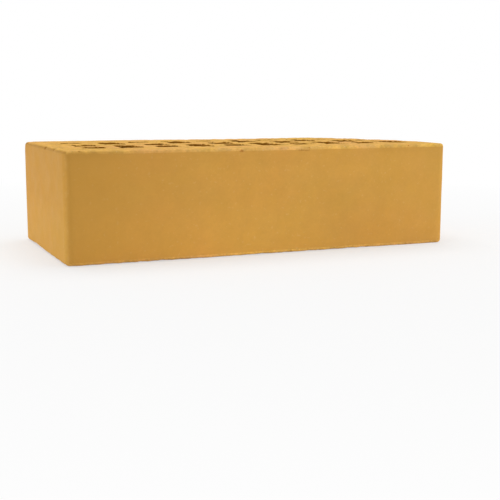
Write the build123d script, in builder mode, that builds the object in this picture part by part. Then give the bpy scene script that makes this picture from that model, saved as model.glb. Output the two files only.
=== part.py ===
# Clinker facing brick of the 250 x 120 x 65 mm format, extruded and wire cut, with upright slots in ten columns.
# It lies on its lower bed face. The origin is the middle of that face, +X runs along the brick towards its
# right-hand end, -Y is the outward side of the stretcher face that shows, and +Z points up. Sizes are in millimetres.
import os
from build123d import *

# Outer size of the fired brick
length = 250.0
width = 120.0
height = 65.0

# Edges of the body: the upright arrises come rounded from the die, the bed arrises are softened after the cut
upright_arris_radius = 4.5
bed_arris_radius = 2.0

# Slot pattern: columns run across the brick and take turns between two layouts
columns = 10
slot_width = 13.2
slot_corner_radius = 2.0
left_end_wall = 19.0
right_end_wall = 13.5
side_wall = 24.0
web = 9.7
short_slot_length = 13.5
mouth_chamfer = 0.8

# Sizes that follow from the ones above
pattern_left = -length / 2 + left_end_wall + slot_width / 2
pattern_right = length / 2 - right_end_wall - slot_width / 2
column_pitch = (pattern_right - pattern_left) / (columns - 1)
slot_run = width - 2 * side_wall
long_slot_length = (slot_run - web) / 2
middle_slot_length = slot_run - 2 * short_slot_length - 2 * web
long_slot_offset = (slot_run - long_slot_length) / 2
short_slot_offset = (slot_run - short_slot_length) / 2

column_places = [pattern_left + number * column_pitch for number in range(columns)]
three_slot_columns = column_places[0::2]
two_slot_columns = column_places[1::2]

# The fired body: one solid with its slots right through from bed face to bed face
with BuildPart() as brick:
    # Outline of the die, seen from above
    with BuildSketch(Plane.XY):
        RectangleRounded(length, width, upright_arris_radius)
    extrude(amount=height)

    # Rounded arrises along both bed faces
    fillet(brick.faces().filter_by(Axis.Z).edges(), bed_arris_radius)

    # Slots, as seen from above
    with BuildSketch(Plane.XY):
        # Columns with a short slot, a middle slot and another short slot
        for place in three_slot_columns:
            with Locations((place, 0)):
                RectangleRounded(slot_width, middle_slot_length, slot_corner_radius)
            with Locations((place, -short_slot_offset), (place, short_slot_offset)):
                RectangleRounded(slot_width, short_slot_length, slot_corner_radius)
        # Columns with two long slots
        for place in two_slot_columns:
            with Locations((place, -long_slot_offset), (place, long_slot_offset)):
                RectangleRounded(slot_width, long_slot_length, slot_corner_radius)
    extrude(amount=height, mode=Mode.SUBTRACT)

    # Eased rim round the mouth of every slot, on both bed faces
    bed_faces = brick.faces().filter_by(Axis.Z)
    mouth_edges = [edge for face in bed_faces for wire in face.inner_wires() for edge in wire.edges()]
    chamfer(mouth_edges, mouth_chamfer)

brick.part.label = "clinker_brick"

os.makedirs("parts", exist_ok=True)
export_step(brick.part, "parts/clinker_brick.step")
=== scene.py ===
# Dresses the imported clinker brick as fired, wire-cut clay and sets up a plain studio round it.
# Laid out as a Blender add-on. Everything is in metres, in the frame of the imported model: the origin is the
# middle of the lower bed face, +X runs along the brick, -Y is the outward side of the stretcher face, and +Z
# points up.
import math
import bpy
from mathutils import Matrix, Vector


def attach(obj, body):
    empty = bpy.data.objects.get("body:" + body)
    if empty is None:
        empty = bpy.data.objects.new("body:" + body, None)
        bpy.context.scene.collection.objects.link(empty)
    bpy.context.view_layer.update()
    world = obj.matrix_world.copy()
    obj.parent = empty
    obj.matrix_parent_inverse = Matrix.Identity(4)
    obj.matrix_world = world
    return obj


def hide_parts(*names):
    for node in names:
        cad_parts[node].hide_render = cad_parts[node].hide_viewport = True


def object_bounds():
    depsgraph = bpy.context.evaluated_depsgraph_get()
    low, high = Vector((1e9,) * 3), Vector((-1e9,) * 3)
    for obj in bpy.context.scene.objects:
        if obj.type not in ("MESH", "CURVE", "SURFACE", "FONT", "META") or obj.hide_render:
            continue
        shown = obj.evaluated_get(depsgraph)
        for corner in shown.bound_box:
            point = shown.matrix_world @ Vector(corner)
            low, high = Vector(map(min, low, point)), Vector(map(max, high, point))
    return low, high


bl_info = {
    "name": "Clinker brick",
    "version": (1, 0, 0),
    "blender": (4, 5, 0),
    "location": "3D View > Sidebar > Clinker brick",
    "description": "Builds a perforated clinker brick of fired clay and a plain studio round it",
    "category": "Object",
}

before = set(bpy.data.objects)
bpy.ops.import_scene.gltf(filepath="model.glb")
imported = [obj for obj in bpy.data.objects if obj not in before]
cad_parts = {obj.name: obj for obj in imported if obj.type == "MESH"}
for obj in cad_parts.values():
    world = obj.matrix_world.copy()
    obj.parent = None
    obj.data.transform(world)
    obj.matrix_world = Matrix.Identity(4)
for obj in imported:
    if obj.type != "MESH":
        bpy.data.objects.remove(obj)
cad_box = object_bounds()

import bpy
import numpy as np
from bpy.props import FloatProperty, FloatVectorProperty, IntProperty, PointerProperty
from mathutils import Matrix, Vector, noise

MM = 0.001
CAD_NODE = "clinker_brick"
BODY = "root"
PIECE = "fired_brick"

# Number of each finish in the brick's list of materials
SKIN, BED, SLOT = 0, 1, 2

# Sides of a slot, as signs along Y
FRONT, BACK = -1.0, 1.0

# Grains torn out of the clay or left hanging on it: sizes in millimetres, and how finely each is rounded
ARRIS_CHIPS = {"smallest": 0.9, "largest": 2.3, "scatter": 0.35, "roundness": 2}
RIM_CHIPS = {"smallest": 0.45, "largest": 1.5, "scatter": 0.5, "roundness": 2}
CRUMBS = {"smallest": 0.35, "largest": 1.0, "scatter": 0.3, "roundness": 1}
PITS = {"smallest": 0.3, "largest": 1.25, "scatter": 0.1, "roundness": 2}
CRUMB_DEPTH = 0.55

# How deep in a slot its walls reach their deep colour, in millimetres, above which they keep the darker
# painted shade, and the angle of an edge drawn sharp
DARK_DEPTH = 9
SHARP_DEGREES = 38

# Nicks in the front face, in millimetres: first point, number of grains torn out, their spacing and size
NICKS = (
    ((-19.6, -60.0, 63.0), 3, 0.8, 1.2),
    ((19.2, -60.0, 62.6), 6, 1.2, 0.8),
)
NICK_SEED = 5

# Steps from the seed of a group of grains to its turns and shifts, and from the brick's seed to its groups
TURN_DRAW, SHIFT_DRAW = 11.0, 23.0
ARRIS_DRAW, RIM_DRAW, PIT_DRAW, CRUMB_DRAW, KEEP_DRAW = 0.0, 41.0, 83.0, 131.0, 211.0

# Seed of the ragged border between two finishes
BORDER_SEED = 3

WHITE = (1.0, 1.0, 1.0, 1.0)


# Settings

def length(name, text, millimetres):
    return FloatProperty(name=name, description=text, default=millimetres * MM, min=0.0, unit="LENGTH")


def number(name, text, default):
    return FloatProperty(name=name, description=text, default=default)


def colour(name, text, rgb):
    return FloatVectorProperty(
        name=name, description=text, default=(*rgb, 1.0), size=4, min=0.0, max=1.0, subtype="COLOR"
    )


class BrickSizes(bpy.types.PropertyGroup):
    """Sizes of the brick and its slots, as the die and the cutting wires leave them"""

    run: length("Length", "Outer size along the brick", (cad_box[1].x - cad_box[0].x) / MM)
    width: length("Width", "Outer size across the bed", (cad_box[1].y - cad_box[0].y) / MM)
    height: length("Height", "Outer size from bed to bed", (cad_box[1].z - cad_box[0].z) / MM)
    upright_arris: length("Upright arris", "Radius of the upright arrises", 4.5)
    bed_arris: length("Bed arris", "Radius of the arrises round both beds", 2.0)
    columns: IntProperty(name="Columns", description="Columns of slots along the brick", default=10, min=2)
    slot_width: length("Slot width", "Size of every slot along the brick", 13.2)
    slot_corner: length("Slot corner", "Radius of the slots' upright corners", 2.0)
    left_end_wall: length("Left end wall", "Clay between the left end and the first slots", 19.0)
    right_end_wall: length("Right end wall", "Clay between the last slots and the right end", 13.5)
    side_wall: length("Side wall", "Clay between the slots and each long face", 24.0)
    web: length("Web", "Clay between two slots of one column", 9.7)
    short_slot: length("Short slot", "Size of a short slot across the brick", 13.5)
    mouth_easing: length("Mouth easing", "How far a slot's rim is worn back", 0.8)


class SurfaceSizes(bpy.types.PropertyGroup):
    """How fine the mesh is, and how far the surface is worn and torn"""

    face_step: length("Face step", "Spacing of the points over the faces", 1.5)
    side_step: length("Side step", "Spacing of the points up the side faces", 2.0)
    slot_levels: IntProperty(name="Slot levels", description="Rings of points down a slot", default=24, min=8)
    arris_spacing: length("Arris chip spacing", "Distance between chips along the outer arrises", 12.0)
    rim_spacing: length("Rim chip spacing", "Distance between chips along the slot rims", 9.0)
    bed_pits: number("Bed pits", "Pits for each square metre of bed", 3200.0)
    side_pits: number("Side pits", "Pits for each square metre of side face", 60.0)
    wave: length("Waviness", "How far the fired faces wander inwards", 0.12)
    drag: length("Wire drag", "Depth of the lines that the cutting wire leaves", 0.18)
    lumps: length("Bed lumps", "Height of the lumps that the wire leaves on the beds", 0.34)
    wear: length("Arris wear", "How far the arrises are worn back", 0.35)
    dip: length("Upper bed dip", "How far the upper bed sinks towards its far right corner", 1.3)
    knocked: length("Knocked corner", "How far the far left corner of the upper bed is knocked off", 2.4)
    crumb_spacing: length("Crumb spacing", "Smallest distance between crumbs left along the slot rims", 2.2)
    crumb_share: number("Crumb share", "Part of those places that keep a crumb", 0.32)
    sag: length("Bed sag", "How far the beds sink at their back edge and behind the slots", 0.32)
    seed: IntProperty(name="Seed", description="Start of the random draws", default=7)


class ClayColours(bpy.types.PropertyGroup):
    """Colours of the fired clay"""

    straw: colour("Straw", "Main colour of the extruded faces", (0.625, 0.320, 0.057))
    warm: colour("Warm", "Pinker patches", (0.640, 0.310, 0.062))
    olive: colour("Olive", "Greener, duller patches", (0.565, 0.312, 0.055))
    fleck: colour("Fleck", "Small pale grains", (0.760, 0.520, 0.230))
    cut: colour("Cut face", "Main colour of the wire-cut beds", (0.725, 0.410, 0.095))
    cut_pink: colour("Pink cut face", "Pinker patches of the beds", (0.760, 0.395, 0.130))
    # The yellow cut face colour is also painted low on the left end, as a painted bounce of light from below
    cut_yellow_and_bounce: colour("Yellow cut face", "Yellower patches of the beds", (0.725, 0.437, 0.084))
    # Olive brown of flashing on the front's ends, also used as painted shade towards the top of the front and
    # of the left end
    flashed_and_shade: colour("Flashed", "Olive brown where the fire caught the outer faces", (0.490, 0.250, 0.042))
    # Painted shadow: the brown line under the upper arris stands in for the shade under the lip of the upper
    # bed
    lip_shadow_colour: colour("Scorched", "Brown line near the upper arris of the outer faces", (0.340, 0.170, 0.022))
    # Painted shade: the dark slot wall colours stand in for the shade inside the slots; they are darkest near
    # the mouths and give way to the lighter deep colour further in
    slot: colour("Slot wall", "Main colour inside the slots", (0.260, 0.096, 0.003))
    slot_warm: colour("Warm slot wall", "Redder patches inside the slots", (0.290, 0.102, 0.005))
    slot_deep: colour("Deep slot wall", "Colour far inside the slots", (0.340, 0.150, 0.014))


class StudioSettings(bpy.types.PropertyGroup):
    """Levels of the studio"""

    ambient: number("Ambient", "Level of the even light from all round", 0.5)
    overhead: number("Overhead", "Power of the lamp above, in watts", 8.3)
    left: number("Left", "Power of the lamp at the left, in watts", 3.8)
    front: number("Front", "Power of the lamp in front at the right, in watts", 4.2)
    floor_tone: colour("Floor", "Colour of the floor", (0.9, 0.9, 0.9))


# Help for node trees

def socket_of(sockets, key):
    """Finds a socket by its number, or the first one in use by its name"""
    if isinstance(key, int):
        return sockets[key]
    for socket in sockets:
        if socket.enabled and socket.name == key:
            return socket
    raise KeyError(key)


def node(tree, kind, inputs=None, **settings):
    """Adds a node, sets its options, then fills or links its inputs"""
    made = tree.nodes.new(kind)
    for name, value in settings.items():
        setattr(made, name, value)
    for key, value in (inputs or {}).items():
        socket = socket_of(made.inputs, key)
        if isinstance(value, bpy.types.NodeSocket):
            tree.links.new(value, socket)
        else:
            socket.default_value = value
    return made


def calc(tree, operation, *values):
    return node(tree, "ShaderNodeMath", dict(enumerate(values)), operation=operation).outputs[0]


def times(tree, first, second):
    return calc(tree, "MULTIPLY", first, second)


def vector_calc(tree, operation, *values):
    return node(tree, "ShaderNodeVectorMath", dict(enumerate(values)), operation=operation).outputs[0]


def scaled(tree, vector, factor):
    return node(tree, "ShaderNodeVectorMath", {0: vector, 3: factor}, operation="SCALE").outputs[0]


def spread_out(tree, value, low, high, new_low, new_high):
    """Maps a value from one range to another and keeps it inside the new one"""
    inputs = {"Value": value, "From Min": low, "From Max": high, "To Min": new_low, "To Max": new_high}
    return node(tree, "ShaderNodeMapRange", inputs).outputs[0]


def vector_of(tree, x=0.0, y=0.0, z=0.0):
    return node(tree, "ShaderNodeCombineXYZ", {"X": x, "Y": y, "Z": z}).outputs[0]


def parts_of(tree, vector):
    return node(tree, "ShaderNodeSeparateXYZ", {"Vector": vector}).outputs


def empty_tree(owner):
    """Clears the node tree of a material or a world and gives it back"""
    owner.use_nodes = True
    owner.node_tree.nodes.clear()
    return owner.node_tree


def new_group(name, kind, inputs, outputs):
    """Makes a node group and gives it back with the sockets that it reads and fills"""
    tree = bpy.data.node_groups.new(name, kind)
    for label, socket_kind, default in inputs:
        socket = tree.interface.new_socket(name=label, in_out="INPUT", socket_type="NodeSocket" + socket_kind)
        if default is not None:
            socket.default_value = default
    for label, socket_kind in outputs:
        tree.interface.new_socket(name=label, in_out="OUTPUT", socket_type="NodeSocket" + socket_kind)
    return tree, tree.nodes.new("NodeGroupInput").outputs, tree.nodes.new("NodeGroupOutput").inputs


# Geometry nodes of the slots, chips and pits

def rounded_outline(tree, across, along, radius):
    """A closed curve round a rectangle, with its corners rounded off"""
    square = node(tree, "GeometryNodeCurvePrimitiveQuadrilateral", {"Width": across, "Height": along})
    corners = {"Curve": square.outputs[0], "Radius": radius, "Count": 4}
    return node(tree, "GeometryNodeFilletCurve", corners, mode="POLY").outputs[0]


def slot_cutter_tree():
    """A closed rod with the outline of one slot and flared ends, longer than the slot is deep"""
    tree, given, result = new_group(
        "Slot cutter",
        "GeometryNodeTree",
        [
            ("Run", "Float", 0.0312),
            ("Slot width", "Float", 0.0132),
            ("Slot corner", "Float", 0.002),
            ("Brick height", "Float", 0.065),
            ("Mouth easing", "Float", 0.0008),
            ("Step", "Float", 0.0015),
            ("Levels", "Int", 24),
        ],
        [("Cutter", "Geometry"), ("Outline", "Geometry")],
    )
    overrun = 1.0 * MM
    outline = rounded_outline(tree, given["Slot width"], given["Run"], given["Slot corner"])
    perimeter = node(tree, "GeometryNodeCurveLength", {"Curve": outline}).outputs[0]
    steps = calc(tree, "ROUND", calc(tree, "DIVIDE", perimeter, given["Step"]))
    grid = {"Vertices X": calc(tree, "ADD", steps, 1.0), "Vertices Y": given["Levels"]}
    sheet = node(tree, "GeometryNodeMeshGrid", grid)
    places = parts_of(tree, sheet.outputs["UV Map"])
    sampled = node(tree, "GeometryNodeSampleCurve", {"Curves": outline, "Factor": places["X"]}, mode="FACTOR")
    wave = calc(tree, "COSINE", times(tree, places["Y"], math.pi))
    top = calc(tree, "ADD", given["Brick height"], overrun)
    height = spread_out(tree, wave, 1.0, -1.0, -overrun, top)
    depth = calc(tree, "MINIMUM", height, calc(tree, "SUBTRACT", given["Brick height"], height))
    flare = calc(tree, "MAXIMUM", calc(tree, "SUBTRACT", given["Mouth easing"], depth), 0.0)
    outwards = vector_calc(tree, "CROSS_PRODUCT", socket_of(sampled.outputs, "Tangent"), (0.0, 0.0, 1.0))
    ring = vector_calc(tree, "ADD", socket_of(sampled.outputs, "Position"), scaled(tree, outwards, flare))
    from_middle = calc(tree, "ABSOLUTE", calc(tree, "SUBTRACT", places["Y"], 0.5))
    almost_half = 0.4999
    is_end = calc(tree, "GREATER_THAN", from_middle, almost_half)
    pinched = scaled(tree, ring, calc(tree, "SUBTRACT", 1.0, is_end))
    lifted = vector_calc(tree, "ADD", pinched, vector_of(tree, z=height))
    rolled = node(tree, "GeometryNodeSetPosition", {"Geometry": sheet.outputs[0], "Position": lifted})
    pinch = {"Geometry": rolled.outputs[0], "Distance": 0.01 * MM}
    closed = node(tree, "GeometryNodeMergeByDistance", pinch)
    tree.links.new(closed.outputs[0], result["Cutter"])
    tree.links.new(outline, result["Outline"])
    return tree


def random_value(tree, seed):
    inputs = {"Min": 0.0, "Max": 1.0, "Seed": seed}
    return socket_of(node(tree, "FunctionNodeRandomValue", inputs).outputs, "Value")


def random_vector(tree, low, high, seed):
    inputs = {"Min": (low,) * 3, "Max": (high,) * 3, "Seed": seed}
    return socket_of(node(tree, "FunctionNodeRandomValue", inputs, data_type="FLOAT_VECTOR").outputs, "Value")


def grain_tree():
    """Lumpy grains on points, mostly small, each turned its own way"""
    tree, given, result = new_group(
        "Grains on points",
        "GeometryNodeTree",
        [
            ("Points", "Geometry", None),
            ("Smallest", "Float", 0.0004),
            ("Largest", "Float", 0.002),
            ("Scatter", "Float", 0.0005),
            ("Roundness", "Int", 2),
            ("Seed", "Int", 1),
        ],
        [("Grains", "Geometry")],
    )
    ball = node(tree, "GeometryNodeMeshIcoSphere", {"Radius": 1.0, "Subdivisions": given["Roundness"]})
    place = node(tree, "GeometryNodeInputPosition").outputs[0]
    lumps = node(tree, "ShaderNodeTexNoise", {"Vector": place, "Scale": 1.4, "Detail": 1.0}).outputs[0]
    swell = spread_out(tree, lumps, 0.3, 0.7, -0.35, 0.35)
    lumpy = {"Geometry": ball.outputs[0], "Offset": scaled(tree, place, swell)}
    grain = node(tree, "GeometryNodeSetPosition", lumpy)
    mostly_small = calc(tree, "POWER", random_value(tree, given["Seed"]), 3.0)
    size = spread_out(tree, mostly_small, 0.0, 1.0, given["Smallest"], given["Largest"])
    turn = random_vector(tree, 0.0, math.tau, calc(tree, "ADD", given["Seed"], TURN_DRAW))
    shift = random_vector(tree, -1.0, 1.0, calc(tree, "ADD", given["Seed"], SHIFT_DRAW))
    strewn = {"Geometry": given["Points"], "Offset": scaled(tree, shift, given["Scatter"])}
    moved = node(tree, "GeometryNodeSetPosition", strewn)
    flattened = (1.0, 0.8, 0.65)
    placed = node(
        tree,
        "GeometryNodeInstanceOnPoints",
        {
            "Points": moved.outputs[0],
            "Instance": grain.outputs[0],
            "Rotation": node(tree, "FunctionNodeEulerToRotation", {0: turn}).outputs[0],
            "Scale": scaled(tree, flattened, size),
        },
    )
    tree.links.new(placed.outputs[0], result["Grains"])
    return tree


def grains_on(tree, grains, points, seed, smallest, largest, scatter, roundness):
    """Puts grains on points, with their sizes given in millimetres"""
    inputs = {
        "Points": points,
        "Smallest": smallest * MM,
        "Largest": largest * MM,
        "Scatter": scatter * MM,
        "Roundness": roundness,
        "Seed": seed,
    }
    return node(tree, "GeometryNodeGroup", inputs, node_tree=grains).outputs[0]


def raised(tree, geometry, height):
    inputs = {"Geometry": geometry, "Translation": vector_of(tree, z=height)}
    return node(tree, "GeometryNodeTransform", inputs).outputs[0]


def points_along(tree, lines, spacing):
    inputs = {"Curve": lines, "Length": spacing}
    return node(tree, "GeometryNodeCurveToPoints", inputs, mode="LENGTH").outputs[0]


def brick_tree(values):
    """Cuts the slots, the chips along all arrises and the torn pits out of a plain block"""
    kinds = {int: "Int", float: "Float"}
    sizes = [(name, kinds.get(type(value), "Material"), value) for name, value in values.items()]
    inputs = [("Block", "Geometry", None), *sizes]
    tree, given, result = new_group("Perforated brick", "GeometryNodeTree", inputs, [("Brick", "Geometry")])
    cutter_tree = slot_cutter_tree()
    grains = grain_tree()
    cutters = node(tree, "GeometryNodeJoinGeometry")
    rims = node(tree, "GeometryNodeJoinGeometry")
    spacing = vector_of(tree, x=given["Column spacing"])

    def drawn(points, draw, grain_sizes):
        """Grains on points, with a random draw of their own"""
        return grains_on(tree, grains, points, calc(tree, "ADD", given["Seed"], draw), **grain_sizes)

    # Five rows of slots: front, middle and back in the odd columns, front and back in the even ones
    for run, first, offset, side in (
        ("Short run", "First three-slot column", "Short offset", FRONT),
        ("Middle run", "First three-slot column", "Short offset", 0.0),
        ("Short run", "First three-slot column", "Short offset", BACK),
        ("Long run", "First two-slot column", "Long offset", FRONT),
        ("Long run", "First two-slot column", "Long offset", BACK),
    ):
        start = vector_of(tree, x=given[first], y=times(tree, given[offset], side))
        line = {"Count": given["Columns of a kind"], "Start Location": start, "Offset": spacing}
        row = node(tree, "GeometryNodeMeshLine", line).outputs[0]
        shared = ("Slot width", "Slot corner", "Brick height", "Mouth easing", "Step", "Levels")
        shape = {name: given[name] for name in shared}
        cutter = node(tree, "GeometryNodeGroup", {"Run": given[run], **shape}, node_tree=cutter_tree).outputs
        for part, joined in (("Cutter", cutters), ("Outline", rims)):
            places = {"Points": row, "Instance": cutter[part]}
            placed = node(tree, "GeometryNodeInstanceOnPoints", places).outputs[0]
            tree.links.new(placed, joined.inputs[0])

    # Outer outline and slot rims, once at each bed, are the lines that chips follow
    outline = rounded_outline(tree, given["Length"], given["Width"], given["Upright arris"])
    real_rims = node(tree, "GeometryNodeRealizeInstances", {"Geometry": rims.outputs[0]}).outputs[0]
    for lines, spacing_name, draw, chips in (
        (outline, "Arris chip spacing", ARRIS_DRAW, ARRIS_CHIPS),
        (real_rims, "Rim chip spacing", RIM_DRAW, RIM_CHIPS),
    ):
        pair = node(tree, "GeometryNodeJoinGeometry")
        for level in (lines, raised(tree, lines, given["Brick height"])):
            tree.links.new(level, pair.inputs[0])
        dots = points_along(tree, pair.outputs[0], given[spacing_name])
        tree.links.new(drawn(dots, draw, chips), cutters.inputs[0])

    # Crumbs that the wire left hanging on the rims, at the lower and the upper bed
    crumbs = node(tree, "GeometryNodeJoinGeometry")
    depth = CRUMB_DEPTH * MM
    for height in (depth, calc(tree, "SUBTRACT", given["Brick height"], depth)):
        dots = points_along(tree, raised(tree, real_rims, height), given["Crumb spacing"])
        chance = random_value(tree, calc(tree, "ADD", given["Seed"], KEEP_DRAW))
        empty = calc(tree, "GREATER_THAN", chance, given["Crumb share"])
        kept = node(tree, "GeometryNodeDeleteGeometry", {"Geometry": dots, "Selection": empty}).outputs[0]
        tree.links.new(drawn(kept, CRUMB_DRAW, CRUMBS), crumbs.inputs[0])

    # Pits in the beds, where the wire tore grains out, and a few in the side faces
    normal = parts_of(tree, node(tree, "GeometryNodeInputNormal").outputs[0])
    nearly_level = 0.9
    on_bed = calc(tree, "GREATER_THAN", calc(tree, "ABSOLUTE", normal["Z"]), nearly_level)
    density = spread_out(tree, on_bed, 0.0, 1.0, given["Side pits"], given["Bed pits"])
    spread = {"Mesh": given["Block"], "Density": density, "Seed": given["Seed"]}
    spots = node(tree, "GeometryNodeDistributePointsOnFaces", spread).outputs[0]
    tree.links.new(drawn(spots, PIT_DRAW, PITS), cutters.inputs[0])

    # Nicks in the front face, just under its upper arris
    for start, count, pitch, deepest in NICKS:
        place = vector_of(tree, *(part * MM for part in start))
        line = {"Count": count, "Start Location": place, "Offset": vector_of(tree, x=pitch * MM)}
        row = node(tree, "GeometryNodeMeshLine", line).outputs[0]
        nick = {"smallest": 0.6 * deepest, "largest": deepest, "scatter": 0.1, "roundness": 2}
        tree.links.new(grains_on(tree, grains, row, NICK_SEED, **nick), cutters.inputs[0])

    cut = node(
        tree,
        "GeometryNodeMeshBoolean",
        {"Mesh 1": given["Block"], "Mesh 2": cutters.outputs[0]},
        operation="DIFFERENCE",
        solver="MANIFOLD",
    )
    crumbed = node(tree, "GeometryNodeMeshBoolean", {}, operation="UNION", solver="MANIFOLD")
    for part in (cut.outputs[0], crumbs.outputs[0]):
        tree.links.new(part, crumbed.inputs[1])
    real = node(tree, "GeometryNodeRealizeInstances", {"Geometry": crumbed.outputs[0]})
    dressed = {"Geometry": real.outputs[0], "Material": given["Material"]}
    finished = node(tree, "GeometryNodeSetMaterial", dressed)
    tree.links.new(finished.outputs[0], result["Brick"])
    return tree


def run_tree(piece, tree, values):
    """Runs a geometry tree on a piece and leaves a plain mesh"""
    modifier = piece.modifiers.new(tree.name, "NODES")
    modifier.node_group = tree
    for item in tree.interface.items_tree:
        if item.in_out == "INPUT" and item.name in values:
            modifier[item.identifier] = values[item.name]
    graph = bpy.context.evaluated_depsgraph_get()
    evaluated = piece.evaluated_get(graph)
    made = bpy.data.meshes.new_from_object(evaluated, preserve_all_data_layers=True, depsgraph=graph)
    piece.modifiers.remove(modifier)
    old = piece.data
    piece.data = made
    bpy.data.meshes.remove(old)
    made.name = piece.name


# Shape of the block and of the worn surface

def slot_layout(sizes):
    """Centres and half sizes of all the slots, with the places of the first two columns and the pitch"""
    first = -sizes.run / 2 + sizes.left_end_wall + sizes.slot_width / 2
    last = sizes.run / 2 - sizes.right_end_wall - sizes.slot_width / 2
    pitch = (last - first) / (sizes.columns - 1)
    across = sizes.width - 2 * sizes.side_wall
    long_run = (across - sizes.web) / 2
    middle_run = across - 2 * sizes.short_slot - 2 * sizes.web
    long_offset = (across - long_run) / 2
    short_offset = (across - sizes.short_slot) / 2
    slots = []
    for column in range(sizes.columns):
        x = first + column * pitch
        if column % 2:
            rows = [(-long_offset, long_run), (long_offset, long_run)]
        else:
            rows = [(-short_offset, sizes.short_slot), (0.0, middle_run), (short_offset, sizes.short_slot)]
        slots += [(x, y, sizes.slot_width / 2, run / 2) for y, run in rows]
    return {
        "slots": np.array(slots),
        "first": first,
        "pitch": pitch,
        "long_run": long_run,
        "middle_run": middle_run,
        "long_offset": long_offset,
        "short_offset": short_offset,
    }


def face_lines(half, radius, step):
    """Places of the points across a face, with whole steps inside each rounded arris"""
    core = half - radius
    inner = np.linspace(-core, core, round(2 * core / step) + 1)
    outer = np.linspace(core, half, max(round(radius / step), 2) + 1)[1:]
    return np.concatenate([-outer[::-1], inner, outer])


def block_mesh(name, sizes, face_step, side_step):
    """A plain block with evenly spaced points: rounded upright arrises and smaller rounds along both beds"""
    half = np.array([sizes.run / 2, sizes.width / 2])
    radius = sizes.upright_arris
    small = sizes.bed_arris
    core = half - radius
    xs = face_lines(half[0], radius, face_step)
    ys = face_lines(half[1], radius, face_step)

    def rounded(flat, inset):
        """Moves points of the square outline onto the rounded one, that far inside the outer size"""
        beyond = np.maximum(np.abs(flat) - core, 0.0)
        farthest = beyond.max(axis=1)
        reach = np.hypot(beyond[:, 0], beyond[:, 1])
        some_reach = np.where(reach > 0, reach, 1.0)
        share = np.where(reach > 0, farthest / some_reach, 1.0) * (radius - inset) / radius
        return np.sign(flat) * (np.minimum(np.abs(flat), core) + beyond * share[:, None])

    nx = len(xs)
    ny = len(ys)
    grid = np.stack(np.meshgrid(xs, ys, indexing="ij"), axis=2).reshape(-1, 2)
    index = np.arange(nx * ny).reshape(nx, ny)
    ring = np.concatenate([index[:-1, 0], index[-1, :-1], index[:0:-1, -1], index[0, :0:-1]])

    arris_points = 5
    angles = np.linspace(0.0, math.pi / 2, arris_points)
    low = small * (1 - np.cos(angles))
    insets = small * (1 - np.sin(angles))
    side_steps = round((sizes.height - 2 * small) / side_step)
    middle = np.linspace(small, sizes.height - small, side_steps + 1)[1:-1]
    levels = np.concatenate([low[1:], middle, sizes.height - low[:0:-1]])
    level_insets = np.concatenate([insets[1:], np.zeros(len(middle)), insets[:0:-1]])

    bed = rounded(grid, small)
    points = [np.column_stack([bed, np.full(len(bed), level)]) for level in (0.0, sizes.height)]
    rings = [ring]
    start = 2 * len(bed)
    for level, inset in zip(levels, level_insets):
        edge = rounded(grid[ring], inset)
        points.append(np.column_stack([edge, np.full(len(edge), level)]))
        rings.append(np.arange(start, start + len(edge)))
        start += len(edge)
    rings.append(ring + len(bed))

    a = index[:-1, :-1].ravel()
    b = index[1:, :-1].ravel()
    c = index[1:, 1:].ravel()
    d = index[:-1, 1:].ravel()
    faces = [np.column_stack([a, d, c, b]), np.column_stack([a, b, c, d]) + len(bed)]
    for below, above in zip(rings, rings[1:]):
        faces.append(np.column_stack([below, np.roll(below, -1), np.roll(above, -1), above]))

    mesh = bpy.data.meshes.new(name)
    mesh.from_pydata(np.concatenate(points).tolist(), [], np.concatenate(faces).tolist())
    mesh.update()
    return mesh


def slot_distance(points, slots, corner):
    """Distance from each point to the nearest slot, seen from above, below zero inside it"""
    far_off = 1.0
    nearest = np.full(len(points), far_off)
    for x, y, half_x, half_y in slots:
        over_x = np.abs(points[:, 0] - x) - (half_x - corner)
        over_y = np.abs(points[:, 1] - y) - (half_y - corner)
        outside = np.hypot(np.maximum(over_x, 0.0), np.maximum(over_y, 0.0))
        inside = np.minimum(np.maximum(over_x, over_y), 0.0)
        nearest = np.minimum(nearest, outside + inside - corner)
    return nearest


def ease(value, low, high):
    """Zero up to the low value and one from the high one, with a smooth rise between them"""
    share = np.clip((value - low) / (high - low), 0.0, 1.0)
    return share * share * (3.0 - 2.0 * share)


def closeness(distance, reach):
    """One at no distance, falling evenly to zero at the reach"""
    return np.clip(1.0 - distance / reach, 0.0, 1.0)


def band(value, middle, width):
    """One at the middle, fading smoothly on both sides of it"""
    return np.exp(-(((value - middle) / width) ** 2))


def wander(points, grain_x, grain_y, grain_z, seed):
    """Smooth noise from 0 to 1 over points, with its own grain size in millimetres along each axis"""
    grain = np.array([grain_x * MM, grain_y * MM, grain_z * MM])
    seed_step = np.array([7.3, 3.1, 5.7])
    spots = points / grain + seed * seed_step
    return np.array([noise.noise(spot) for spot in spots.tolist()]) * 0.5 + 0.5


def vectors_of(items, name):
    """Reads one vector of each point or face of a mesh into rows"""
    flat = np.empty(len(items) * 3)
    items.foreach_get(name, flat)
    return flat.reshape(-1, 3)


def rim_crest(points, slots, strengths, side, easing, reach):
    """Each slot's strength along its front or back rim, falling to zero over the reach outside it"""
    past_corner = 1.5 * MM
    inside, ahead_at_most = 0.2 * MM, 6 * MM
    crest = np.zeros(len(points))
    for (x, y, half_x, half_y), strength in zip(slots, strengths):
        ahead = side * (points[:, 1] - y) - half_y
        beside = np.abs(points[:, 0] - x) - half_x
        height = closeness(ahead - easing, reach) * closeness(beside, past_corner) * strength
        near = (ahead > -inside) & (ahead < ahead_at_most)
        crest = np.maximum(crest, np.where(near, height, 0.0))
    return crest


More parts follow.
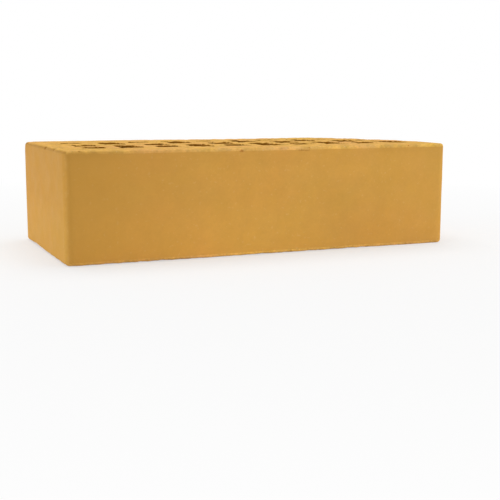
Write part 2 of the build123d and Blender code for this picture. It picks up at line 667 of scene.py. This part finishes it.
def rim_masks(points, slots, easing):
    """Front rims of the longer slots, both rims of the short slots, and the worn back rims"""
    short_half, long_half = 7.0 * MM, 12.5 * MM
    lip_reach, rim_reach = 2.2 * MM, 3.0 * MM
    longer = ease(slots[:, 3], short_half, long_half)
    lip = rim_crest(points, slots, longer, FRONT, easing, lip_reach)
    whole = np.maximum(
        rim_crest(points, slots, 1.0 - longer, FRONT, easing, rim_reach),
        rim_crest(points, slots, 1.0 - longer, BACK, easing, rim_reach),
    )
    front_row = slots[:, 1] <= -10 * MM
    worn = np.where(front_row, 0.3 * longer, 1.0)
    heel = rim_crest(points, slots, worn, BACK, easing, rim_reach)
    return lip, whole, heel


def proud_mask(points):
    """Parts of the beds that the wire left full, at the front right and the back left"""
    x = points[:, 0] / MM
    y = points[:, 1] / MM
    front_right = 0.85 * ease(x, 50, 115) * ease(-y, -10, 45)
    back_left = 0.8 * ease(-x, -30, 70) * ease(y, 30, 56)
    return np.maximum(front_right, back_left)


def lip_shadow_mask(points, sizes, seed):
    """Painted shadow line just under the upper arris, along the left end and along the front towards its
    ends, for the shade under the lip of the upper bed
    """
    rounded, flat = 2.6 * MM, 1.0 * MM
    below_top = sizes.height - points[:, 2]
    end_line = band(below_top, 0.8 * MM, 0.75 * MM)
    front_line = band(below_top, 2.9 * MM, 0.9 * MM)
    on_left_end = ease(-points[:, 0], sizes.run / 2 - rounded, sizes.run / 2 - flat)
    on_front = ease(-points[:, 1], sizes.width / 2 - rounded, sizes.width / 2 - flat)
    near_left = ease(-points[:, 0], 80 * MM, 118 * MM)
    near_right = 0.4 * ease(points[:, 0], 55 * MM, 85 * MM)
    under_lip = np.maximum(end_line * on_left_end, front_line * on_front * np.maximum(near_left, near_right))
    return under_lip * ease(wander(points, 12, 12, 12, seed), 0.0, 0.5)


def surface_masks(points, sizes, layout):
    """Distances from the outer faces, the beds and the slots, and how near each point is to an arris"""
    rim_width, arris_width = 1.3 * MM, 2.6 * MM
    from_end = sizes.run / 2 - np.abs(points[:, 0])
    from_side = sizes.width / 2 - np.abs(points[:, 1])
    from_bed = np.minimum(points[:, 2], sizes.height - points[:, 2])
    from_slot = slot_distance(points, layout["slots"], sizes.slot_corner)
    from_rim = np.abs(from_slot) + rim_width
    ordered = np.sort(np.stack([from_end, from_side, from_bed, from_rim]), axis=0)
    return from_end, from_side, from_bed, from_slot, closeness(ordered[1], arris_width)


def weather(mesh, sizes, surface, layout):
    """Moves every point a little inwards, as drying, firing, the cutting wire and handling leave the clay"""
    points = vectors_of(mesh.vertices, "co")
    from_end, from_side, from_bed, from_slot, arris = surface_masks(points, sizes, layout)
    seed = surface.seed
    skin_depth, cut_depth, wall_depth = 5 * MM, 3 * MM, 3 * MM
    calm_edge, knock_reach = 7 * MM, 7 * MM
    inside_slot, beside_slot = 0.2 * MM, 0.5 * MM
    die_depth, wall_swing = 0.05 * MM, 0.25 * MM

    # Fired skin and worn arrises
    slow = wander(points, 38, 30, 26, seed)
    quick = wander(points, 7, 6, 5, seed + 1)
    worn = surface.wear * arris * ease(wander(points, 9, 9, 9, seed + 2), 0.42, 0.85)
    die_lines = die_depth * wander(points, 1.6, 1.6, 90, seed + 3)
    skin = surface.wave * (0.75 * slow + 0.25 * quick) + die_lines + worn

    # Beds as the wire leaves them, with noise that hardly changes over the height
    tall = 400
    lines = wander(points, 1.3, 22, tall, seed + 4)
    tears = ease(wander(points, 3.2, 7, tall, seed + 5), 0.55, 0.9)
    ragged = 0.35 + 0.65 * ease(wander(points, 3, 3, tall, seed + 6), 0.3, 0.6)
    lumps = ease(wander(points, 3.6, 4.4, tall, seed + 9), 0.3, 0.75)
    lip, whole, heel = rim_masks(points, layout["slots"], sizes.mouth_easing)
    calm = 1.0 - 0.6 * closeness(np.minimum(from_end, from_side), calm_edge)
    relief = surface.drag * (0.8 * lines + 1.4 * tears) + surface.lumps * lumps * calm
    torn = relief * (1.0 - 0.8 * whole)
    far_side = ease(points[:, 1], 20 * MM, 38 * MM)
    level = surface.sag * np.maximum(far_side, heel)
    sunk = ((level + torn) * (1.0 - lip * ragged) + surface.wave * slow) * (1.0 - proud_mask(points))

    # Slot walls, the dip at the far right and the knocked corner at the far left
    in_slot = ease(from_bed, 0.0, wall_depth) * (from_slot < inside_slot)
    wall = wall_swing * (quick - 0.5) * in_slot
    dip = surface.dip * ease(points[:, 0], 80 * MM, 130 * MM) * ease(points[:, 1], -25 * MM, 55 * MM)
    corner = np.array([-sizes.run / 2, sizes.width / 2, sizes.height])
    near_corner = closeness(np.linalg.norm(points - corner, axis=1), knock_reach) ** 2
    knock = surface.knocked * np.array([0.75, -0.5, -0.9])

    upper = points[:, 2] > sizes.height / 2
    moved = points.copy()
    moved[:, 0] -= np.sign(points[:, 0]) * closeness(from_end, skin_depth) * skin
    moved[:, 1] -= np.sign(points[:, 1]) * closeness(from_side, skin_depth) * skin
    moved[:, 0] += wall
    moved[:, 2] += np.where(upper, -1.0, 1.0) * closeness(from_bed, cut_depth) * (sunk + worn)
    moved[:, 2] -= dip * points[:, 2] / sizes.height
    moved += near_corner[:, None] * knock
    moved = np.clip(moved, np.array(cad_box[0]), np.array(cad_box[1]))
    mesh.vertices.foreach_set("co", moved.ravel())

    # Masks that the materials read
    masks = {
        "arris": arris,
        "slot_depth": ease(from_bed, 0.0, DARK_DEPTH * MM) * (from_slot < beside_slot),
        # Painted shadow line under the lip of the upper bed
        "lip_shadow": lip_shadow_mask(points, sizes, seed + 8),
    }
    for name, values in masks.items():
        mask = mesh.attributes.new(name, "FLOAT", "POINT")
        mask.data.foreach_set("value", values.astype(np.float32))
    mesh.update()


def sort_faces(mesh, sizes, layout):
    """Gives each face its finish: extruded skin, wire-cut bed or slot wall"""
    wall_reach, rim_reach = 0.45 * MM, 0.75 * MM
    wall_start, rim_start = 0.5 * MM, 0.05 * MM
    pit_depth, outer_edge = 2.5 * MM, 3 * MM
    centres = vectors_of(mesh.polygons, "center")
    flatness = np.abs(vectors_of(mesh.polygons, "normal")[:, 2])
    upright, broken = 0.9, 0.47
    from_end, from_side, from_bed, from_slot, _ = surface_masks(centres, sizes, layout)
    ragged = wander(centres, 4, 4, 4, BORDER_SEED)
    steepest = np.where(from_end < from_side, 0.72 + 0.2 * ragged, 0.08 + 0.12 * ragged)
    finish = np.where(flatness > steepest, BED, SKIN)
    # Slot walls, and ragged strips along the rims, take the slot finish, whose dark colour is painted shade
    wall = (from_slot < wall_reach) & (from_bed > wall_start)
    rim = (from_slot < rim_reach) & (from_bed > rim_start) & (flatness < upright) & (ragged > broken)
    finish = np.where(wall | rim, SLOT, finish)
    pitted = (from_bed < pit_depth) & (from_slot > wall_reach) & ~rim
    inner = (from_end > outer_edge) & (from_side > outer_edge)
    finish = np.where(pitted & inner, BED, finish)
    mesh.polygons.foreach_set("material_index", finish.astype(np.int32))
    mesh.update()


# Shader groups and materials

def mixed(tree, factor, first, second):
    inputs = {"Factor": factor, "A": first, "B": second}
    return socket_of(node(tree, "ShaderNodeMix", inputs, data_type="RGBA").outputs, "Result")


def noise_value(tree, vector, scale, detail=2.0, roughness=0.5):
    inputs = {"Vector": vector, "Scale": scale, "Detail": detail, "Roughness": roughness}
    return node(tree, "ShaderNodeTexNoise", inputs).outputs[0]


def clay_colour_group():
    """Patchy colour of one clay face, with fine grain and pale flecks"""
    tree, given, result = new_group(
        "Clay colour",
        "ShaderNodeTree",
        [
            ("Vector", "Vector", None),
            ("Main", "Color", (0.6, 0.3, 0.08, 1.0)),
            ("Warm", "Color", (0.6, 0.3, 0.08, 1.0)),
            ("Olive", "Color", (0.5, 0.3, 0.08, 1.0)),
            ("Fleck", "Color", (0.7, 0.5, 0.2, 1.0)),
            ("Patchiness", "Float", 0.5),
            ("Graininess", "Float", 0.08),
            ("Flecks", "Float", 0.4),
        ],
        [("Color", "Color")],
    )
    place = given["Vector"]
    elsewhere = vector_calc(tree, "ADD", place, (3.1, 1.7, 0.4))
    patch = spread_out(tree, noise_value(tree, place, 26.0, 4.0, 0.6), 0.38, 0.66, 0.0, 1.0)
    cloud = spread_out(tree, noise_value(tree, elsewhere, 15.0, 3.0, 0.55), 0.42, 0.68, 0.0, 1.0)
    tone = mixed(tree, times(tree, patch, given["Patchiness"]), given["Main"], given["Warm"])
    tone = mixed(tree, times(tree, cloud, given["Patchiness"]), tone, given["Olive"])
    fine = calc(tree, "SUBTRACT", noise_value(tree, place, 620.0, 3.0, 0.6), 0.5)
    broad = calc(tree, "SUBTRACT", noise_value(tree, elsewhere, 140.0, 2.0, 0.5), 0.5)
    contrast = times(tree, given["Graininess"], 3.0)
    swing = times(tree, calc(tree, "ADD", fine, broad), contrast)
    grained = scaled(tree, tone, calc(tree, "ADD", 1.0, swing))
    spots = spread_out(tree, noise_value(tree, elsewhere, 520.0, 1.0, 0.5), 0.66, 0.74, 0.0, 1.0)
    flecked = mixed(tree, times(tree, spots, given["Flecks"]), grained, given["Fleck"])
    tree.links.new(flecked, result["Color"])
    return tree


def clay_relief_group():
    """Height of the fine relief: sandy grain, and lines along one direction"""
    tree, given, result = new_group(
        "Clay relief",
        "ShaderNodeTree",
        [
            ("Vector", "Vector", None),
            ("Line scale", "Vector", (700.0, 700.0, 12.0)),
            ("Lines", "Float", 0.3),
        ],
        [("Height", "Float")],
    )
    place = given["Vector"]
    sandy = noise_value(tree, place, 1500.0, 3.0, 0.65)
    lumpy = noise_value(tree, place, 340.0, 2.0, 0.5)
    grain = calc(tree, "ADD", times(tree, sandy, 0.5), lumpy)
    lines = noise_value(tree, vector_calc(tree, "MULTIPLY", place, given["Line scale"]), 1.0, 2.0, 0.5)
    total = calc(tree, "ADD", grain, times(tree, lines, given["Lines"]))
    tree.links.new(total, result["Height"])
    return tree


def front_change(tree, spot):
    """How much paler, or below zero how much darker, the front face is at each place, in metres. The paler
    part low down is a painted bounce of light from below, the darker top is painted shade, and a dull patch
    right of the middle is darker as well
    """
    # Painted light: paler low down, most of all left of the middle, for light bounced up from below
    pale_left = spread_out(tree, spot["X"], -0.125, -0.055, 0.4, 1.0)
    pale_right = spread_out(tree, spot["X"], 0.0, 0.055, 1.0, 0.0)
    pale_across = times(tree, pale_left, pale_right)
    pale = times(tree, pale_across, spread_out(tree, spot["Z"], 0.0, 0.035, 0.14, 0.0))
    from_dull = calc(tree, "ABSOLUTE", calc(tree, "SUBTRACT", spot["X"], 0.060))
    dull_across = spread_out(tree, from_dull, 0.012, 0.040, 0.045, 0.0)
    dull_low = spread_out(tree, spot["Z"], 0.0, 0.014, 0.0, 1.0)
    dull_high = spread_out(tree, spot["Z"], 0.030, 0.050, 1.0, 0.0)
    dull = times(tree, dull_across, times(tree, dull_low, dull_high))
    # Painted shade: a slightly darker band at the top, just under the upper arris
    shaded_top = spread_out(tree, spot["Z"], 0.050, 0.060, 0.0, 0.03)
    return calc(tree, "SUBTRACT", pale, calc(tree, "ADD", dull, shaded_top))


def fired_tone_and_painted_light(tree, tone, place, colours):
    """Adds the broad changes on the front face and the left end: painted light and shade, a dull patch, and
    the olive brown of flashing towards the front's ends. Places are in metres
    """
    spot = parts_of(tree, place)
    on_front = spread_out(tree, spot["Y"], -0.0585, -0.0597, 0.0, 1.0)
    on_end = spread_out(tree, spot["X"], -0.1230, -0.1246, 0.0, 1.0)
    change = times(tree, front_change(tree, spot), on_front)
    tone = scaled(tree, tone, calc(tree, "ADD", 1.0, change))

    # Painted light on the left end: browner towards its top, painted shade, and yellower low down, a painted
    # bounce of light from below
    end_top_shade = spread_out(tree, spot["Z"], 0.025, 0.062, 0.0, 0.4)
    tone = mixed(tree, times(tree, on_end, end_top_shade), tone, colours.flashed_and_shade)
    end_low_bounce = spread_out(tree, spot["Z"], 0.0, 0.035, 0.35, 0.0)
    tone = mixed(tree, times(tree, on_end, end_low_bounce), tone, colours.cut_yellow_and_bounce)

    # The front is olive brown towards its ends, in streaks, from flashing; that it is browner at its top and
    # lighter low down is painted shade
    left_side = spread_out(tree, spot["X"], -0.120, -0.040, 0.85, 0.0)
    right_side = spread_out(tree, spot["X"], 0.060, 0.125, 0.0, 0.3)
    along = calc(tree, "MAXIMUM", left_side, right_side)
    shade_upwards = spread_out(tree, spot["Z"], 0.0, 0.06, 0.7, 1.0)
    streaks = spread_out(tree, noise_value(tree, place, 30.0, 2.0), 0.3, 0.7, 0.75, 1.0)
    caught = times(tree, along, on_front)
    fire_and_shade = times(tree, caught, times(tree, streaks, shade_upwards))
    return mixed(tree, fire_and_shade, tone, colours.flashed_and_shade)


def mesh_mask(tree, name):
    return node(tree, "ShaderNodeAttribute", attribute_name=name).outputs["Fac"]


def clay_material(name, groups, colours, tones, mottling, lines, line_scale, relief, rough, gloss):
    """Matt fired clay. The groups give colour and relief, and masks on the mesh place arris wear, a painted
    shadow line under the upper arris and the deep colour inside the slots
    """
    lip_shadow_strength = 0.85
    rough_swing = 0.07
    material = bpy.data.materials.new(name)
    tree = empty_tree(material)
    place = node(tree, "ShaderNodeTexCoord").outputs["Object"]
    main, warm, olive = tones
    clay = {"Vector": place, "Main": main, "Warm": warm, "Olive": olive, "Fleck": colours.fleck, **mottling}
    tone = node(tree, "ShaderNodeGroup", clay, node_tree=groups["colour"]).outputs[0]
    scuffs = spread_out(tree, noise_value(tree, place, 210.0, 3.0, 0.6), 0.4, 0.7, 0.0, 0.3)
    tone = mixed(tree, times(tree, mesh_mask(tree, "arris"), scuffs), tone, colours.fleck)
    # Painted shadow line under the lip of the upper bed
    under_lip = times(tree, mesh_mask(tree, "lip_shadow"), lip_shadow_strength)
    tone = mixed(tree, under_lip, tone, colours.lip_shadow_colour)
    # Painted light and shade on the front and the left end, with the olive brown of flashing
    tone = fired_tone_and_painted_light(tree, tone, place, colours)
    # Inside the slots the dark painted shade gives way to the deep colour further in
    tone = mixed(tree, mesh_mask(tree, "slot_depth"), tone, colours.slot_deep)
    grooves = {"Vector": place, "Line scale": line_scale, "Lines": lines}
    height = node(tree, "ShaderNodeGroup", grooves, node_tree=groups["relief"]).outputs[0]
    bump = node(tree, "ShaderNodeBump", {"Height": height, "Strength": 0.8, "Distance": relief})
    uneven = noise_value(tree, place, 90.0, 3.0, 0.6)
    sheen = spread_out(tree, uneven, 0.35, 0.65, rough - rough_swing, rough + rough_swing)
    shader = node(
        tree,
        "ShaderNodeBsdfPrincipled",
        {"Base Color": tone, "Roughness": sheen, "Normal": bump.outputs[0], "Specular IOR Level": gloss},
    )
    node(tree, "ShaderNodeOutputMaterial", {"Surface": shader.outputs[0]})
    return material


def clay_materials(colours):
    """The three finishes, in the order of their numbers"""
    groups = {"colour": clay_colour_group(), "relief": clay_relief_group()}
    upright = (650.0, 650.0, 9.0)
    across = (620.0, 14.0, 620.0)
    skin = clay_material(
        "extruded clay",
        groups,
        colours,
        tones=(colours.straw, colours.warm, colours.olive),
        mottling={"Patchiness": 0.6, "Graininess": 0.04, "Flecks": 0.16},
        lines=0.3,
        line_scale=upright,
        relief=0.10 * MM,
        rough=0.7,
        gloss=0.14,
    )
    bed = clay_material(
        "wire cut clay",
        groups,
        colours,
        tones=(colours.cut, colours.cut_pink, colours.cut_yellow_and_bounce),
        mottling={"Patchiness": 0.8, "Graininess": 0.26, "Flecks": 0.55},
        lines=0.9,
        line_scale=across,
        relief=0.5 * MM,
        rough=0.9,
        gloss=0.05,
    )
    # The slot walls' dark colours are painted shade
    wall = clay_material(
        "slot wall clay",
        groups,
        colours,
        tones=(colours.slot, colours.slot_warm, colours.slot_deep),
        mottling={"Patchiness": 0.6, "Graininess": 0.09, "Flecks": 0.05},
        lines=0.4,
        line_scale=upright,
        relief=0.25 * MM,
        rough=0.9,
        gloss=0.02,
    )
    return skin, bed, wall


class CLINKER_OT_make_brick(bpy.types.Operator):
    """Build the perforated brick with its chips, pits and fired clay"""

    bl_idname = "clinker.make_brick"
    bl_label = "Make the brick"

    def execute(self, context):
        sizes = context.scene.clinker_sizes
        surface = context.scene.clinker_surface
        finishes = clay_materials(context.scene.clinker_colours)
        layout = slot_layout(sizes)
        block = block_mesh(PIECE, sizes, surface.face_step, surface.side_step)
        piece = bpy.data.objects.new(PIECE, block)
        context.scene.collection.objects.link(piece)
        values = {
            "Length": sizes.run,
            "Width": sizes.width,
            "Brick height": sizes.height,
            "Upright arris": sizes.upright_arris,
            "First three-slot column": layout["first"],
            "First two-slot column": layout["first"] + layout["pitch"],
            "Column spacing": 2 * layout["pitch"],
            "Columns of a kind": sizes.columns // 2,
            "Short run": sizes.short_slot,
            "Middle run": layout["middle_run"],
            "Long run": layout["long_run"],
            "Short offset": layout["short_offset"],
            "Long offset": layout["long_offset"],
            "Slot width": sizes.slot_width,
            "Slot corner": sizes.slot_corner,
            "Mouth easing": sizes.mouth_easing,
            "Step": surface.face_step,
            "Levels": surface.slot_levels,
            "Arris chip spacing": surface.arris_spacing,
            "Rim chip spacing": surface.rim_spacing,
            "Crumb spacing": surface.crumb_spacing,
            "Crumb share": surface.crumb_share,
            "Bed pits": surface.bed_pits,
            "Side pits": surface.side_pits,
            "Seed": surface.seed,
            "Material": finishes[SKIN],
        }
        run_tree(piece, brick_tree(values), values)
        mesh = piece.data
        if len(mesh.polygons) == 0:
            raise RuntimeError("the brick came out empty")
        mesh.materials.clear()
        for material in finishes:
            mesh.materials.append(material)
        sort_faces(mesh, sizes, layout)
        weather(mesh, sizes, surface, layout)
        mesh.shade_smooth()
        mesh.set_sharp_from_angle(angle=math.radians(SHARP_DEGREES))
        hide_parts(CAD_NODE)
        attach(piece, BODY)
        return {"FINISHED"}


# Studio

def soft_box(name, place, aim, wide, tall, power):
    """A rectangular lamp that stands at a place and faces the aim, all in metres and its power in watts"""
    lamp = bpy.data.lights.new(name, "AREA")
    lamp.shape = "RECTANGLE"
    lamp.size = wide
    lamp.size_y = tall
    lamp.energy = power
    box = bpy.data.objects.new(name, lamp)
    box.location = place
    box.rotation_euler = (Vector(aim) - Vector(place)).to_track_quat("-Z", "Y").to_euler()
    bpy.context.scene.collection.objects.link(box)


def white_to_the_eye(tree):
    """One where the camera, a reflection or a clear body looks, zero for the light itself"""
    rays = node(tree, "ShaderNodeLightPath").outputs
    mirrored = calc(tree, "MAXIMUM", rays["Is Glossy Ray"], rays["Is Transmission Ray"])
    return calc(tree, "MAXIMUM", rays["Is Camera Ray"], mirrored)


def studio_world(ambient):
    world = bpy.data.worlds.new("studio")
    tree = empty_tree(world)
    even = node(tree, "ShaderNodeBackground", {"Color": WHITE, "Strength": ambient})
    white = node(tree, "ShaderNodeBackground", {"Color": WHITE, "Strength": 1.0})
    shares = {0: white_to_the_eye(tree), 1: even.outputs[0], 2: white.outputs[0]}
    both = node(tree, "ShaderNodeMixShader", shares)
    node(tree, "ShaderNodeOutputWorld", {"Surface": both.outputs[0]})
    bpy.context.scene.world = world


def studio_floor(tone):
    """A wide pale floor that keeps the shadow near the brick and turns white further out"""
    reach = 6.0
    shadow_end, white_start = 0.1, 0.5
    covered_x, covered_y = 0.120, 0.055
    corners = [(-reach, -reach, 0.0), (reach, -reach, 0.0), (reach, reach, 0.0), (-reach, reach, 0.0)]
    mesh = bpy.data.meshes.new("floor")
    mesh.from_pydata(corners, [], [(0, 1, 2, 3)])
    floor = bpy.data.objects.new("floor", mesh)
    bpy.context.scene.collection.objects.link(floor)
    material = bpy.data.materials.new("studio floor")
    tree = empty_tree(material)
    place = node(tree, "ShaderNodeTexCoord").outputs["Object"]
    away = node(tree, "ShaderNodeVectorMath", {0: place}, operation="LENGTH").outputs["Value"]
    fade = spread_out(tree, away, shadow_end, white_start, 0.5, 1.0)
    matt = node(tree, "ShaderNodeBsdfDiffuse", {"Color": tone})
    white = node(tree, "ShaderNodeEmission", {"Color": WHITE, "Strength": 1.0})
    spot = parts_of(tree, place)
    beyond_ends = calc(tree, "GREATER_THAN", calc(tree, "ABSOLUTE", spot["X"]), covered_x)
    beyond_sides = calc(tree, "GREATER_THAN", calc(tree, "ABSOLUTE", spot["Y"]), covered_y)
    uncovered = calc(tree, "MAXIMUM", beyond_ends, beyond_sides)
    share = times(tree, white_to_the_eye(tree), times(tree, fade, uncovered))
    both = node(tree, "ShaderNodeMixShader", {0: share, 1: matt.outputs[0], 2: white.outputs[0]})
    node(tree, "ShaderNodeOutputMaterial", {"Surface": both.outputs[0]})
    mesh.materials.append(material)


def studio_camera():
    """The photograph's view, for a square picture"""
    picture = 500.0
    focal_pixels = 971.4
    heading, downwards, lean = -23.24, 9.07, 0.15
    camera = bpy.data.cameras.new("camera")
    camera.sensor_width = 36.0
    camera.lens = focal_pixels / picture * camera.sensor_width
    camera.clip_start = 0.01
    camera.clip_end = 50.0
    holder = bpy.data.objects.new("camera", camera)
    holder.location = (-0.2418, -0.5920, 0.0957)
    turn = Matrix.Rotation(math.radians(heading), 3, "Z")
    tilt = Matrix.Rotation(math.radians(90.0 - downwards), 3, "X")
    roll = Matrix.Rotation(math.radians(lean), 3, "Z")
    holder.rotation_euler = (turn @ tilt @ roll).to_euler()
    bpy.context.scene.collection.objects.link(holder)
    bpy.context.scene.camera = holder


class CLINKER_OT_make_studio(bpy.types.Operator):
    """Set up the floor, the soft lamps, the white surroundings and the camera"""

    bl_idname = "clinker.make_studio"
    bl_label = "Make the studio"

    def execute(self, context):
        studio = context.scene.clinker_studio
        studio_world(studio.ambient)
        studio_floor(studio.floor_tone)
        middle = (0.0, 0.0, 0.04)
        soft_box("overhead lamp", (0.05, 0.2, 1.2), middle, 1.0, 1.0, studio.overhead)
        soft_box("left lamp", (-1.2, 0.1, 0.16), middle, 0.7, 0.3, studio.left)
        soft_box("front lamp", (0.75, -0.75, 0.075), (0.1, 0.0, 0.04), 0.6, 0.12, studio.front)
        studio_camera()
        context.scene.view_settings.view_transform = "Standard"
        return {"FINISHED"}


class CLINKER_PT_sidebar(bpy.types.Panel):
    """Lists the sizes, the colours and the two steps"""

    bl_idname = "CLINKER_PT_sidebar"
    bl_label = "Clinker brick"
    bl_space_type = "VIEW_3D"
    bl_region_type = "UI"
    bl_category = "Clinker brick"

    def draw(self, context):
        for title, settings in (
            ("Sizes", context.scene.clinker_sizes),
            ("Surface", context.scene.clinker_surface),
            ("Clay", context.scene.clinker_colours),
        ):
            self.list_settings(title, settings)
        self.layout.operator(CLINKER_OT_make_brick.bl_idname)
        self.list_settings("Studio", context.scene.clinker_studio)
        self.layout.operator(CLINKER_OT_make_studio.bl_idname)

    def list_settings(self, title, settings):
        column = self.layout.column(align=True)
        column.label(text=title)
        for name in settings.__annotations__:
            column.prop(settings, name)


SETTINGS = {
    "clinker_sizes": BrickSizes,
    "clinker_surface": SurfaceSizes,
    "clinker_colours": ClayColours,
    "clinker_studio": StudioSettings,
}
CLASSES = (*SETTINGS.values(), CLINKER_OT_make_brick, CLINKER_OT_make_studio, CLINKER_PT_sidebar)


def register():
    for kind in CLASSES:
        bpy.utils.register_class(kind)
    for name, kind in SETTINGS.items():
        setattr(bpy.types.Scene, name, PointerProperty(type=kind))


def unregister():
    for name in SETTINGS:
        delattr(bpy.types.Scene, name)
    for kind in reversed(CLASSES):
        bpy.utils.unregister_class(kind)


def main():
    register()
    bpy.ops.clinker.make_brick()
    bpy.ops.clinker.make_studio()
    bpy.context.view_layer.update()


if __name__ == "__main__":
    main()
